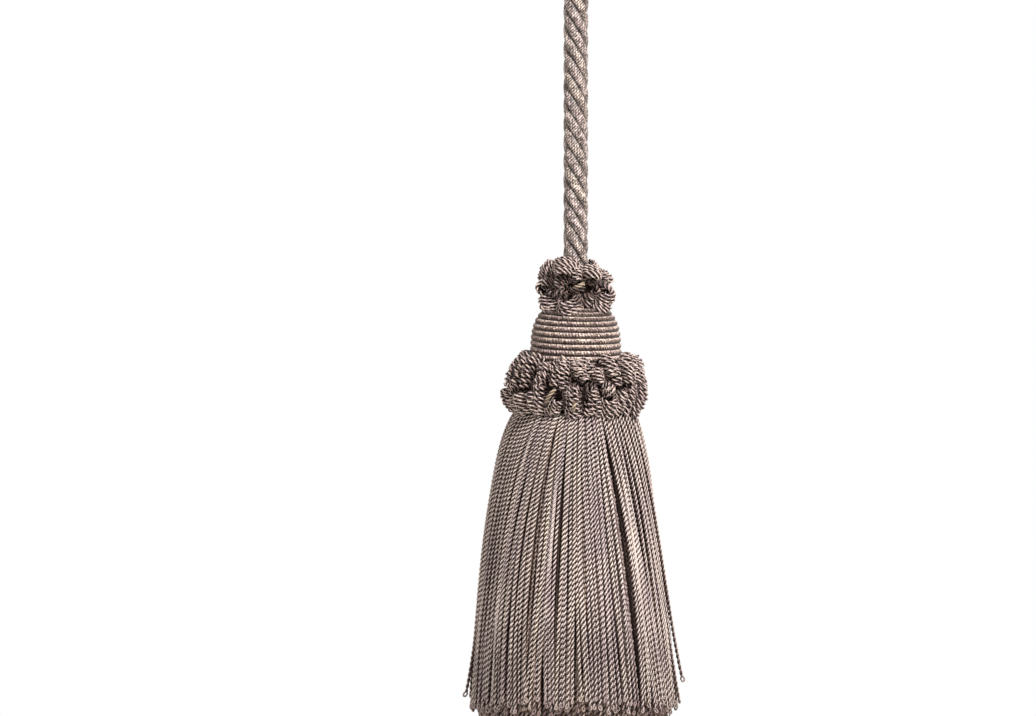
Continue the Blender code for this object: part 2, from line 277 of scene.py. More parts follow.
def spline_route(route, samples=24):
    """Points on a cubic B-spline through a route's bends that starts and ends with it."""
    knots = np.array([(across * MM, 0.0, level(height)) for across, height in route])
    knots = np.vstack([2 * knots[0] - knots[1], knots, 2 * knots[-1] - knots[-2]])
    t = (np.arange(samples) / samples)[:, None]
    near_start = 3 * t ** 3 - 6 * t ** 2 + 4
    near_end = 1 + 3 * t + 3 * t ** 2 - 3 * t ** 3
    spans = []
    for before, start, end, after in zip(knots, knots[1:], knots[2:], knots[3:]):
        outer = before * (1 - t) ** 3 + after * t ** 3
        spans.append((outer + start * near_start + end * near_end) / 6)
    return np.vstack([*spans, knots[-2:-1]])


def even_points(points, count):
    """The same line with its points an even distance apart."""
    runs = runs_of(points[None])[0]
    wanted = np.linspace(0.0, runs[-1], count)
    return np.stack([np.interp(wanted, runs, points[:, i]) for i in range(3)], axis=1)


cord_line = even_points(spline_route(CORD_ROUTE), CORD_POINTS)

# %% [markdown]
# ## The five strands of the cord
# At a glance this looks like a rope of three strands, but its grooves run too steeply for that: five
# strands give them. Each circles the cord's middle in an S twist, so on the front it climbs to the left.
# One groove crosses the front 198.2 mm above the hem, and from there the first angle follows.
# Each strand is a bundle of fine yarns that are twisted the other way, as a ropemaker does so that the
# cord doesn't untwist. So the fine yarns stand nearly upright on the front. They are the strand's lobes.
# A mark called deep says how far a point lies in a groove between strands, and the cord's finish paints
# shade there.

# %% Cord strands
CORD_PITCH = 31.2
CORD_STRANDS = 5
STRAND_OFFSET = 2.42
STRAND_SHADES = [[0.35], [0.7], [0.45], [0.6], [0.4]]
YARN_COUNT = 10
STRAND_OUTLINE = lobed(1.76, YARN_COUNT, 0.08)
CREST_REACH = 4.15
GROOVE_DEPTH = 1.0
YARN_PITCH = 20.0
GROOVE_AT_FRONT = 198.2

sides, ups = carry_frames(cord_line[None])
run = runs_of(cord_line[None])[0] / MM
groove_turn = 2 * np.pi * (GROOVE_AT_FRONT - CORD_FOOT) / CORD_PITCH
first_angle = -np.pi / 2 + np.pi / CORD_STRANDS + groove_turn - np.pi / 2
strand_lines = []
for number in range(CORD_STRANDS):
    angle = first_angle + 2 * np.pi * number / CORD_STRANDS - 2 * np.pi * run / CORD_PITCH
    out = np.cos(angle)[:, None] * sides[0] + np.sin(angle)[:, None] * ups[0]
    strand_lines.append(cord_line + STRAND_OFFSET * MM * out)
strand_lines = np.array(strand_lines)
yarn_turn = twist(strand_lines, YARN_PITCH)
cord_strands = lay_yarn(strand_lines, STRAND_OUTLINE, yarn_turn, shade=STRAND_SHADES)
reach = np.linalg.norm(cord_strands.rings - cord_line[None, :, None], axis=3) / MM
cord_strands.marks["deep"] = np.clip((CREST_REACH - reach) / GROOVE_DEPTH, 0.0, 1.0)
cord = make_piece("twisted_cord", [cord_strands])

# %% [markdown]
# ## The whipping of the eye
# A whipping is thread wound tightly round both legs of the eye. It could be a ribbed ring, but a real
# winding climbs, so this is one thread on a climbing oval path.

# %% Whipping
WHIPPING_FOOT = 242.1
WHIPPING_TOP = 250.1
WHIPPING_TURNS = 8
WHIPPING_OUTLINE = lobed(0.62, 3, 0.1)
WHIPPING_PITCH = 2.4
WHIPPING_STEPS = 96
WHIPPING_REACH = 4.72


def oval(share):
    """A point on the oval round both legs, in millimetres, for a share of one turn."""
    straight, half = EYE_LEG, math.pi * WHIPPING_REACH
    at = (share % 1.0) * 2 * (straight + half)
    back = at >= straight + half
    at -= (straight + half) * back
    if at < straight:
        x, y = at, -WHIPPING_REACH
    else:
        turn = (at - straight) / WHIPPING_REACH - math.pi / 2
        x, y = straight + WHIPPING_REACH * math.cos(turn), WHIPPING_REACH * math.sin(turn)
    return (EYE_LEG - x, -y) if back else (x, y)


whipping_line = []
for share in np.linspace(0.0, WHIPPING_TURNS, WHIPPING_TURNS * WHIPPING_STEPS + 1):
    x, y = oval(share)
    height = WHIPPING_FOOT + (WHIPPING_TOP - WHIPPING_FOOT) * share / WHIPPING_TURNS
    whipping_line.append((x * MM, y * MM, level(height)))
whipping_line = np.array([whipping_line])
whipping_turn = twist(whipping_line, WHIPPING_PITCH)
whipping_yarn = lay_yarn(whipping_line, WHIPPING_OUTLINE, whipping_turn, shade=0.4)
whipping = make_piece("wound_whipping", [whipping_yarn])

# %% [markdown]
# ## Finishes for yarn
# The yarn is a soft rayon: its plies shine a little, their sides are a muted mauve brown, and the
# grooves between them are nearly black because no light gets in. The finish paints both of these: a
# painted highlight on the crest of each ply and painted shade in the grooves, over plies of one colour.
# One finish serves the whipping, the ruffs and the skirt. It reads U to tell crest from groove, fine
# noise for the fibres, and each strand's own shade number, because dye lots and the way a strand turns
# make some strands mauve and others yellowish. Deep between strands or loops hardly any light arrives,
# so the mark called deep darkens the yarn there with painted shade.
# Numbers that are the same all over are set on the shader itself.

# %% Small node helpers
def linear(red, green, blue):
    """A colour for a shader from 0 to 255 display values."""
    channels = [value / 255 for value in (red, green, blue)]
    return tuple(c / 12.92 if c <= 0.04045 else ((c + 0.055) / 1.055) ** 2.4 for c in channels) + (1.0,)


class Finish:
    """A material that is built from small nodes."""

    def __init__(self, name, roughness, sheen=0.25, specular=0.5):
        self.material = bpy.data.materials.new(name)
        self.material.use_nodes = True
        self.tree = self.material.node_tree
        self.shader = self.tree.nodes["Principled BSDF"]
        self.shader.inputs["Roughness"].default_value = roughness
        self.shader.inputs["Sheen Weight"].default_value = sheen
        self.shader.inputs["Sheen Roughness"].default_value = 0.45
        self.shader.inputs["Specular IOR Level"].default_value = specular

    def put(self, socket, value):
        if isinstance(value, bpy.types.NodeSocket):
            self.tree.links.new(value, socket)
        else:
            socket.default_value = value

    def math(self, operation, *values):
        node = self.tree.nodes.new("ShaderNodeMath")
        node.operation = operation
        for socket, value in zip(node.inputs, values):
            self.put(socket, value)
        return node.outputs[0]

    def mark(self, name):
        node = self.tree.nodes.new("ShaderNodeAttribute")
        node.attribute_name = name
        return node.outputs["Fac"]

    def lay(self):
        """U round the yarn and V in millimetres along it."""
        node = self.tree.nodes.new("ShaderNodeUVMap")
        node.uv_map = UV_LAY
        split = self.tree.nodes.new("ShaderNodeSeparateXYZ")
        self.put(split.inputs[0], node.outputs[0])
        return split.outputs[0], split.outputs[1]

    def noise(self, per_metre, detail=2.0):
        place = self.tree.nodes.new("ShaderNodeTexCoord")
        node = self.tree.nodes.new("ShaderNodeTexNoise")
        self.put(node.inputs["Vector"], place.outputs["Object"])
        node.inputs["Scale"].default_value = per_metre
        node.inputs["Detail"].default_value = detail
        return node.outputs["Fac"]

    def ramp(self, factor, *stops):
        node = self.tree.nodes.new("ShaderNodeValToRGB")
        self.put(node.inputs[0], factor)
        elements = node.color_ramp.elements
        while len(elements) < len(stops):
            elements.new(0.5)
        for element, (at, colour) in zip(elements, stops):
            element.position = at
            element.color = colour
        return node.outputs[0]

    def multiply(self, factor, first, second):
        node = self.tree.nodes.new("ShaderNodeMix")
        node.data_type = "RGBA"
        node.blend_type = "MULTIPLY"
        self.put(node.inputs["Factor"], factor)
        self.put(node.inputs[6], first)
        self.put(node.inputs[7], second)
        return node.outputs[2]

    def bump(self, height, distance, strength):
        node = self.tree.nodes.new("ShaderNodeBump")
        node.inputs["Strength"].default_value = strength
        node.inputs["Distance"].default_value = distance
        self.put(node.inputs["Height"], height)
        self.put(self.shader.inputs["Normal"], node.outputs[0])

    def colour(self, value):
        self.put(self.shader.inputs["Base Color"], value)


# %% Yarn finish
STRAND_HUES = [(0.0, linear(206, 192, 200)), (0.5, linear(236, 228, 226)), (1.0, linear(251, 245, 231))]
CLOUDS = [(0.3, (0.84, 0.79, 0.83, 1)), (0.7, (1.07, 1.06, 1.04, 1))]
# Painted shade for yarn that lies deep between loops or strands.
PAINTED_SHADE_BETWEEN_LOOPS = [(0.38, (1, 1, 1, 1)), (0.74, (0.19, 0.13, 0.11, 1))]


def yarn_finish(name, plies, colours, roughness=0.42, spread=0.5, hollow=0.0, sunk=PAINTED_SHADE_BETWEEN_LOOPS):
    """Colours are the display colours of crest, flank and groove: a painted highlight on the crest and
    painted shade in the groove. Spread says how far strands differ, and hollow how strongly the colours
    of sunk paint shade on what lies deep. Yarn marked tip has flatter grooves, in its bump and its
    painted shade."""
    finish = Finish(name, roughness, sheen=0.12, specular=0.28)
    crest, flank, groove = (linear(*colour) for colour in colours)
    around = finish.lay()[0]
    wave = finish.math("COSINE", finish.math("MULTIPLY", around, 2 * math.pi * plies))
    swing = finish.math("MULTIPLY_ADD", finish.mark("tip"), 0.3, -0.5)
    depth = finish.math("MULTIPLY_ADD", wave, swing, 0.5)
    fibres = finish.noise(2600.0, 3.0)
    rough_depth = finish.math("MULTIPLY_ADD", finish.math("SUBTRACT", fibres, 0.5), 0.8, depth)
    # Painted highlight on the crest of each ply and painted shade in the groove between plies.
    body = finish.ramp(rough_depth, (0.05, crest), (0.55, flank), (0.92, groove))
    tinted = finish.multiply(spread, body, finish.ramp(finish.mark("shade"), *STRAND_HUES))
    # Painted shade where the mark deep says that yarn lies deep.
    with_deep_shade = finish.multiply(hollow, tinted, finish.ramp(finish.mark("deep"), *sunk))
    finish.colour(finish.multiply(1.0, with_deep_shade, finish.ramp(finish.noise(70.0), *CLOUDS)))
    height = finish.math("MULTIPLY_ADD", fibres, 0.6, finish.math("MULTIPLY", depth, -0.4))
    finish.bump(height, 0.00012, 0.7)
    print("finish:", name)
    return finish.material


# %% [markdown]
# ## Finish of the cord
# The cord's strands have many fine yarns with their own tight twist, which shows as short slanting
# dashes of light and dark, not as long lines. Two waves over the strand's surface give them. One counts
# the yarns round the strand and the other crosses it, and both fit a whole number of times round it.

# %% Cord finish
DASH_COUNT = -4
DASH_PER_MM = 1.15
CORD_BODY = [(0.2, linear(38, 29, 26)), (0.5, linear(112, 99, 92)), (0.82, linear(224, 212, 203))]
CORD_HUES = [(0.0, linear(232, 220, 230)), (0.5, linear(244, 238, 238)), (1.0, linear(255, 249, 234))]
# Painted shade in the grooves between the cord's strands, read from the mark deep.
CORD_PAINTED_GROOVE_SHADE = [(0.12, (1, 1, 1, 1)), (0.5, (0.6, 0.58, 0.57, 1)), (0.85, (0.08, 0.07, 0.06, 1))]


def cord_yarn_finish(name):
    finish = Finish(name, 0.45)
    around, along = finish.lay()
    yarns = finish.math("MULTIPLY", around, float(YARN_COUNT))
    travel = finish.math("MULTIPLY", along, DASH_PER_MM)
    dashes = finish.math("MULTIPLY_ADD", around, float(DASH_COUNT), travel)
    yarn_wave = finish.math("COSINE", finish.math("MULTIPLY", yarns, 2 * math.pi))
    dash_wave = finish.math("SINE", finish.math("MULTIPLY", dashes, 2 * math.pi))
    pattern = finish.math("MULTIPLY_ADD", yarn_wave, 0.08, finish.math("MULTIPLY", dash_wave, 0.15))
    fibres = finish.math("MULTIPLY_ADD", finish.noise(1500.0, 3.0), 1.1, -0.45)
    clumps = finish.math("MULTIPLY_ADD", finish.noise(520.0, 1.0), 0.8, fibres)
    speckle = finish.math("ADD", pattern, clumps)
    body, hue = finish.ramp(speckle, *CORD_BODY), finish.ramp(finish.mark("shade"), *CORD_HUES)
    tinted = finish.multiply(1.0, body, hue)
    finish.colour(finish.multiply(1.0, tinted, finish.ramp(finish.mark("deep"), *CORD_PAINTED_GROOVE_SHADE)))
    finish.bump(speckle, 0.00018, 0.8)
    return finish.material


# Whipping thread: crest, flank and groove, with a painted highlight on the crest and painted shade in
# the groove.
WHIPPING_COLOURS_WITH_PAINTED_LIGHT = [(190, 174, 162), (126, 109, 99), (50, 40, 36)]
cord.data.materials.append(cord_yarn_finish("cord_yarn"))
whipping.data.materials.append(yarn_finish("whipping_thread", 3, WHIPPING_COLOURS_WITH_PAINTED_LIGHT))

# %% [markdown]
# ## Declaring the cord
# It leaves the head at the head's top. Its far end is tied back into the eye. Every piece of this model
# says the same two things: the body it rides on and the CAD node it stands for. So a helper says them.

def stands_for(piece, node):
    """Hides a CAD node behind a piece that rides on the one body there is."""
    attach(piece, "root")
    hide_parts(node)


stands_for(cord, "hanging_cord")
stands_for(whipping, "eye_whipping")

# %% [markdown]
# ## The wound head
# The head is a turned wooden bell with gimp cord wound round it from the top down. On the real one
# each turn lies against the next. A ribbed bell would do from afar, but the turns of a true winding
# slope, and the picture shows that. So one long cord is swept along a spiral on the bell, and a bell
# inside it, painted near-black as shadow, closes the gaps between the turns.

# %% The bell
HEAD_FOOT = 111.3
HEAD_SHOULDER = 120.0
HEAD_TOP = 136.4
HEAD_FOOT_RADIUS = 15.4
HEAD_RADIUS = 15.2
HEAD_RISE = 17.6
HEAD_POWER = 2.9


def bell_radius(height):
    below = (HEAD_SHOULDER - height) / (HEAD_SHOULDER - HEAD_FOOT)
    rise = np.clip((height - HEAD_SHOULDER) / HEAD_RISE, 0.0, 1.0)
    dome = HEAD_RADIUS * (1 - rise ** HEAD_POWER) ** (1 / HEAD_POWER)
    foot = HEAD_RADIUS + (HEAD_FOOT_RADIUS - HEAD_RADIUS) * below
    return np.where(height < HEAD_SHOULDER, foot, dome)


bell_heights = np.linspace(HEAD_TOP, HEAD_FOOT, 900)
bell_radii = bell_radius(bell_heights)
bell_steps = np.hypot(np.diff(bell_heights), np.diff(bell_radii))
bell_runs = np.concatenate([[0.0], np.cumsum(bell_steps)])
print("bell's side in mm:", round(bell_runs[-1], 1))


# %% The winding
GIMP_PITCH = 2.0
GIMP_SINK = 1.0
GIMP_OUTLINE = round_outline(1.06, 10)
GIMP_STEPS = 98

gimp_turns = bell_runs[-1] / GIMP_PITCH
gimp_run = np.linspace(0.0, bell_runs[-1], int(gimp_turns * GIMP_STEPS))
gimp_height = np.interp(gimp_run, bell_runs, bell_heights)
gimp_radius = np.interp(gimp_run, bell_runs, bell_radii)
slope = np.gradient(gimp_height, gimp_run)
fall = np.gradient(gimp_radius, gimp_run)
gimp_angle = 2 * np.pi * gimp_run / GIMP_PITCH
inner_radius = np.maximum(gimp_radius + GIMP_SINK * slope, 0.4)
inner_height = gimp_height - GIMP_SINK * fall
gimp_line = np.stack([
    inner_radius * np.cos(gimp_angle) * MM,
    inner_radius * np.sin(gimp_angle) * MM,
    level(inner_height),
], axis=1)
outward = np.stack([-slope * np.cos(gimp_angle), -slope * np.sin(gimp_angle), fall], axis=1)
gimp = lay_yarn(gimp_line[None], GIMP_OUTLINE, facing=outward[None])
head = make_piece("wound_gimp", [gimp])

# %% [markdown]
# ## Finish of the gimp
# Gimp is a core wrapped closely in fine thread. The wraps slant, so they are a wave in the finish: it
# darkens the lines between wraps and dents the surface there. Each turn shades the one below it, and
# light comes from above, so the finish paints the upper side of a turn pale and its underside dark:
# painted light and painted shade.

# %% Gimp finish
GIMP_WRAP = 1.0
GIMP_SLANT = -2.0
GIMP_BODY = [(0.2, linear(136, 123, 119)), (0.5, linear(186, 175, 170)), (0.8, linear(238, 230, 226))]
GIMP_PAINTED_LIGHT_AND_SHADE = [(0.35, linear(64, 54, 51)), (0.7, linear(138, 126, 121)), (0.98, linear(244, 238, 234))]
GIMP_PATCHES = [(0.3, linear(230, 219, 222)), (0.7, linear(255, 250, 240))]


def gimp_finish(name):
    """U is nothing on the side that faces out and a quarter on the underside of a turn."""
    finish = Finish(name, 0.75, sheen=0.1, specular=0.25)
    around, along = finish.lay()
    travel = finish.math("MULTIPLY_ADD", around, GIMP_SLANT, finish.math("DIVIDE", along, GIMP_WRAP))
    wave = finish.math("SINE", finish.math("MULTIPLY", travel, 2 * math.pi))
    fibres = finish.noise(1900.0, 2.0)
    mottle = finish.math("MULTIPLY_ADD", finish.noise(700.0, 1.0), 0.9, -0.45)
    thread = finish.math("MULTIPLY_ADD", wave, 0.1, finish.math("ADD", fibres, mottle))
    turned = finish.math("MULTIPLY_ADD", around, 2 * math.pi, 0.2 * 2 * math.pi)
    facing_up = finish.math("MULTIPLY_ADD", finish.math("COSINE", turned), 0.5, 0.5)
    ripple = finish.math("MULTIPLY_ADD", wave, 0.07, finish.math("MULTIPLY_ADD", fibres, 1.2, -0.6))
    # Painted light and shade: the upper side of each turn pale, its underside dark.
    painted_light_and_shade = finish.ramp(finish.math("ADD", facing_up, ripple), *GIMP_PAINTED_LIGHT_AND_SHADE)
    shaded = finish.multiply(1.0, finish.ramp(thread, *GIMP_BODY), painted_light_and_shade)
    finish.colour(finish.multiply(1.0, shaded, finish.ramp(finish.noise(140.0), *GIMP_PATCHES)))
    finish.bump(thread, 0.00016, 0.8)
    return finish.material


head.data.materials.append(gimp_finish("head_gimp"))
stands_for(head, "wound_head")

# %% [markdown]
# ## Turned shapes behind the yarn
# Light must not shine through between yarns. So there is a bell under the winding, a band under each
# ruff and a heading under the skirt, all painted near-black as shadow. They are turned like pottery from
# a profile, and they hardly show, so one finish of painted shadow, with a faint weave, serves them all.

# %% Turned cores
def turned_batch(profile, steps=72):
    """Rings of a shape that is turned about the middle, from its top down."""
    points = np.array(profile, float)
    turn = 2 * np.pi * np.arange(steps) / steps
    x = points[:, :1] * np.cos(turn) * MM
    y = points[:, :1] * np.sin(turn) * MM
    z = level(points[:, 1:]) + np.zeros_like(x)
    rings = np.stack([x, y, z], axis=-1)[None, :, ::-1]
    runs = np.concatenate([[0.0], np.cumsum(np.hypot(*np.diff(points, axis=0).T))])[None] * MM
    return Batch(rings, runs, {})


def painted_shadow_finish(name, dark, light):
    finish = Finish(name, 0.95, sheen=0.0, specular=0.05)
    weave = finish.noise(1800.0, 2.0)
    finish.colour(finish.ramp(weave, (0.3, linear(*dark)), (0.7, linear(*light))))
    finish.bump(weave, 0.0002, 0.6)
    return finish.material


# Painted shadow: one near-black finish for the bell, the bands and the heading, with a faint weave.
shadow_cloth = painted_shadow_finish("painted_shadow_cloth", (17, 12, 11), (35, 26, 23))
bell_profile = [(0.3, HEAD_TOP - 0.9)]
for height in np.linspace(HEAD_TOP - 1.0, HEAD_FOOT, 24):
    bell_profile.append((float(bell_radius(height)) - 1.0, height))
bell_profile.append((0.3, HEAD_FOOT))
core = make_piece("bell_core", [turned_batch(bell_profile)])
core.data.materials.append(shadow_cloth)
stands_for(core, "wound_head")

# %% [markdown]
# ## The skirt
# The skirt is a fringe of two-ply strands, about a millimetre and a half apart. An outer layer of 142
# shows, a second one behind it fills its gaps, and five plainer ones make the hem look full from below.
# They hang in little groups of three to six, with dark gaps between the groups.
# Hair particles could make them, but particles don't keep a ply twist. So every strand is a line in
# one array, and the same few waves move it: the whole skirt's sway, its group's drift and bow, and
# its own small wander. Under the ruff the strands are gathered tightly, and those at both sides start
# nearer to the front, from where they fan out. The skirt as a whole leans a little to one side.

# %% Skirt measures
SPREAD_POWER = 0.62
SKIRT_TWIST = 3.9
TWIST_GAIN = 0.00042
Wave = namedtuple("Wave", "size count phase")
SWAY = Wave(1.1, 2, 1.1)
SWELL = Wave(0.8, 3, 0.4)
HEM_RISE = 1.3
STRAND_TOP = 101.5
LOWEST_END = -3.9
LINE_POINTS = 150
FAN, FAN_FADES = 0.42, 2.2
GATHER, GATHER_FADES = 1.4, 9
LEAN, LEAN_TURN, LEAN_POWER = 1.6, 0.8, 0.6
DRIFT = 0.52
BOW, OWN_BOW = 0.9, 0.25
LIFT = 0.6
ROOT_DEPTH = 0.6
WANDER_OUT, WANDER_ASIDE = 0.2, 0.16
GROUP_SHADE, OWN_SHADE = 0.11, 0.22
STRAND_DEPTH = 1.3
Layer = namedtuple("Layer", "count root hem_radius hem jitter gap rings outline")
OUTER = Layer(142, 19.6, 34.0, 5.4, 2.8, 0.42, 166, TWO_PLY)
SECOND = Layer(100, 18.2, 32.9, 4.0, 2.4, 0.6, 82, TWO_PLY_PLAIN)
INSIDE = [
    Layer(106, 16.8, 31.0, -1.9, 1.8, 0.3, 25, TWO_PLY_PLAIN),
    Layer(84, 14.0, 27.8, -2.6, 1.0, 0.3, 25, TWO_PLY_PLAIN),
    Layer(62, 10.5, 22.0, -2.9, 0.9, 0.3, 24, TWO_PLY_PLAIN),
    Layer(34, 6.5, 13.5, -3.1, 0.8, 0.3, 24, TWO_PLY_PLAIN),
    Layer(12, 3.0, 5.5, -3.2, 1.0, 0.3, 24, TWO_PLY_PLAIN),
]


def wave_at(wave, azimuth):
    return wave.size * np.sin(wave.count * azimuth + wave.phase)


# %% Groups of strands round the hem
def grouped(count, chance, gap):
    """Directions of strands round the middle in groups of three to six, and each one's group."""
    group = []
    number = 0
    while len(group) < count:
        group += [number] * int(chance.integers(3, 7))
        number += 1
    group = np.array(group[:count])
    space = chance.uniform(0.88, 1.12, count)
    space[1:] += (np.diff(group) > 0) * chance.uniform(0.1, gap, count - 1)
    turn = np.cumsum(space)
    return 2 * np.pi * turn / turn[-1], group


# %% Lines of the strands in one layer
def hanging_lines(layer, chance, strays):
    """Lines of one layer, with their directions, their shades and a number to start each twist."""
    azimuth, group = grouped(layer.count, chance, layer.gap)
    groups = group.max() + 1
    share = np.linspace(0.0, 1.0, LINE_POINTS)[None]
    hem = layer.hem + chance.uniform(-1, 1, layer.count) * layer.jitter - HEM_RISE * np.cos(2 * azimuth)
    hem = np.maximum(hem, LOWEST_END)
    hem_radius = layer.hem_radius + chance.uniform(-0.4, 0.4, layer.count)
    drift = chance.normal(0.0, DRIFT, groups)[group]
    bow = chance.normal(0.0, BOW, groups)[group] + chance.normal(0.0, OWN_BOW, layer.count)
    lift = chance.uniform(-LIFT, LIFT, groups)[group]
    own = chance.uniform(0.0, 2 * np.pi, layer.count)
    shade = 0.5 + chance.normal(0.0, GROUP_SHADE, groups)[group]
    shade = shade + chance.normal(0.0, OWN_SHADE, layer.count)
    parting = np.zeros((layer.count, 1))
    for at, outward, end in strays:
        number = int(np.argmin(np.abs(np.angle(np.exp(1j * (azimuth - at))))))
        parting[number] = outward
        hem[number] = end
    start, shade = own, np.clip(shade, 0.0, 1.0)[:, None]
    azimuth, hem, hem_radius, drift, bow, lift, own = (
        value[:, None] for value in (azimuth, hem, hem_radius, drift, bow, lift, own)
    )
    depth = ROOT_DEPTH * np.where(np.arange(layer.count) % 2, 1.0, -1.0)[:, None]
    radius = layer.root + (hem_radius - layer.root) * share ** SPREAD_POWER
    radius = radius - GATHER * np.exp(-GATHER_FADES * share)
    radius = radius + wave_at(SWELL, azimuth) * share + lift * share + depth * (1 - share)
    radius = radius + WANDER_OUT * np.sin(6 * share + own) + parting * share ** 5
    aside = wave_at(SWAY, azimuth) * share ** 2 + drift * share ** 1.4 + bow * np.sin(np.pi * share)
    aside = aside + WANDER_ASIDE * np.sin(8 * share + 2 * own)
    height = STRAND_TOP + (hem - STRAND_TOP) * share
    at = azimuth - FAN * np.cos(azimuth) * (1 - share) ** FAN_FADES
    lean = LEAN * np.sin(LEAN_TURN * np.pi * share ** LEAN_POWER)
    x = radius * np.cos(at) - aside * np.sin(at) - lean
    y = radius * np.sin(at) + aside * np.cos(at)
    return np.stack([x * MM, y * MM, level(height)], axis=-1), azimuth[:, 0], shade, start


# %% [markdown]
# ## Strand ends
# Each strand is a doubled yarn that was let twist on itself, so it ends in a small round loop. A bead
# could stand for it from afar, but it looks like a blob close by. So the strand's own sweep closes, and
# a small ring of yarn hangs from its end, turned about the strand by chance. A mark called tip tells the
# finish where a loop is, and deep says how far a point faces into the skirt: the finish paints shade
# there, more on the layers that lie behind the outer one and less on the loops.
# The strands inside show only near the hem, so most of their points are moved there.

# %% Measures of strand ends
CLOSING_AT = [0.0, 0.3, 0.8, 1.4]
CLOSING_SIZE = [0.4, 0.85, 0.95, 1.0]
CLOSING_END = 2.0
SEEN_END = 12.0
HIDDEN_RINGS = 8
OUTSIDE_SIZE = 1.27
INSIDE_SIZE = 1.55
# Painted shade that the second layer and the layers inside get beyond the outer one, because they lie
# behind it.
SECOND_PAINTED_SHADE = 0.16
INSIDE_PAINTED_SHADE = 0.33
LOOP_OUTLINE = round_outline(0.33, 4)
LOOP_POINTS = 12
LOOP_WIDTH = 0.46
LOOP_DROP = 1.4
LOOP_TUCK = 0.25
LOOP_TURN = 1.1
LOOP_LEAN = 0.5
# Loops get this much less painted shade than the strands they end.
LOOP_LIGHT = 0.16


def spaced_lines(lines, spacing, held):
    """The same lines with points at given distances in millimetres above their ends. Distances
    above the held one are stretched to fit each line's own length."""
    runs = runs_of(lines)
    moved = np.empty((len(lines), len(spacing), 3))
    for number, run in enumerate(runs):
        own = np.interp(spacing, [0.0, held, spacing[0]], [0.0, held, run[-1] / MM])
        for axis in range(3):
            moved[number, :, axis] = np.interp(run[-1] - own * MM, run, lines[number, :, axis])
    return moved


def ring_spacing(rings, length, seen):
    """Distances above a strand's end: even ones, or close ones only where the strand is seen."""
    closing = CLOSING_AT[::-1]
    left = rings - len(closing)
    if seen is None:
        return np.concatenate([np.linspace(length, CLOSING_END, left), closing])
    hidden = np.linspace(length, seen, HIDDEN_RINGS + 1)[:-1]
    return np.concatenate([hidden, np.linspace(seen, CLOSING_END, left - HIDDEN_RINGS), closing])


# %% Lay the strands
def lay_strands(layer, chance, strays=(), seen=None, behind=0.0):
    """The strands of a layer. Behind says how much more painted shade it gets than the outer one."""
    lines, azimuth, shade, start = hanging_lines(layer, chance, strays)
    longest = float(runs_of(lines)[:, -1].max()) / MM
    spacing = ring_spacing(layer.rings, longest, seen)
    lines = spaced_lines(lines, spacing, CLOSING_END if seen is None else seen)
    left = (runs_of(lines)[:, -1:] - runs_of(lines)) / MM
    turning = left if seen is None else np.minimum(left, seen)
    angle = start[:, None] - 2 * np.pi * (turning / SKIRT_TWIST + turning ** 2 * TWIST_GAIN)
    size = np.interp(left, CLOSING_AT, CLOSING_SIZE) * (OUTSIDE_SIZE if seen is None else INSIDE_SIZE)
    batch = lay_yarn(lines, layer.outline, angle, size, shade=shade, tip=0.0)
    batch.marks["deep"] = sunk_side(batch, lines, behind)
    return batch, azimuth, lines, shade


def sunk_side(batch, lines, behind):
    """How far each point of a strand faces into the skirt instead of out of it, raised by behind. The
    skirt's finish paints shade by it.
    """
    axis_reach = np.linalg.norm(lines[..., :2], axis=-1)[..., None]
    point_reach = np.linalg.norm(batch.rings[..., :2], axis=-1)
    return np.clip(0.5 + behind + (axis_reach - point_reach) / (STRAND_DEPTH * MM), 0.0, 1.0)


def end_loops(lines, shade, chance, behind):
    """The small loops in which strands end, each turned about its strand by chance."""
    end = lines[:, -1]
    down = unit(lines[:, -1] - lines[:, -4])
    turn = chance.uniform(-LOOP_TURN, LOOP_TURN, (len(lines), 1))
    across = unit(np.cross(down, np.hstack([np.sin(turn), -np.cos(turn), 0 * turn])))
    size = chance.uniform(0.75, 1.25, (len(lines), 1, 1))
    lean = chance.uniform(-LOOP_LEAN, LOOP_LEAN, (len(lines), 1, 1))
    round_it = np.linspace(0.0, 2 * math.pi, LOOP_POINTS)[None, :, None]
    drop = LOOP_DROP * 0.5 * (1 - np.cos(round_it)) * size - LOOP_TUCK
    aside = LOOP_WIDTH * np.sin(round_it) * size + lean * drop
    loops = end[:, None] + (aside * across[:, None] + drop * down[:, None]) * MM
    batch = lay_yarn(loops, LOOP_OUTLINE, twist(loops, SKIRT_TWIST), shade=shade, tip=1.0)
    batch.marks["deep"] = sunk_side(batch, loops, behind - LOOP_LIGHT)
    return batch


def part_of(batch, chosen):
    marks = {name: values[chosen] for name, values in batch.marks.items()}
    return Batch(batch.rings[chosen], batch.runs[chosen], marks)


# %% Skirt pieces
Stray = namedtuple("Stray", "azimuth outward end")
STRAYS = [Stray(0.0, 2.2, 11.4), Stray(-0.09, 1.9, 4.2), Stray(math.pi, 2.4, 6.4)]
THIRDS = ("skirt_back_right", "skirt_back_left", "skirt_front")

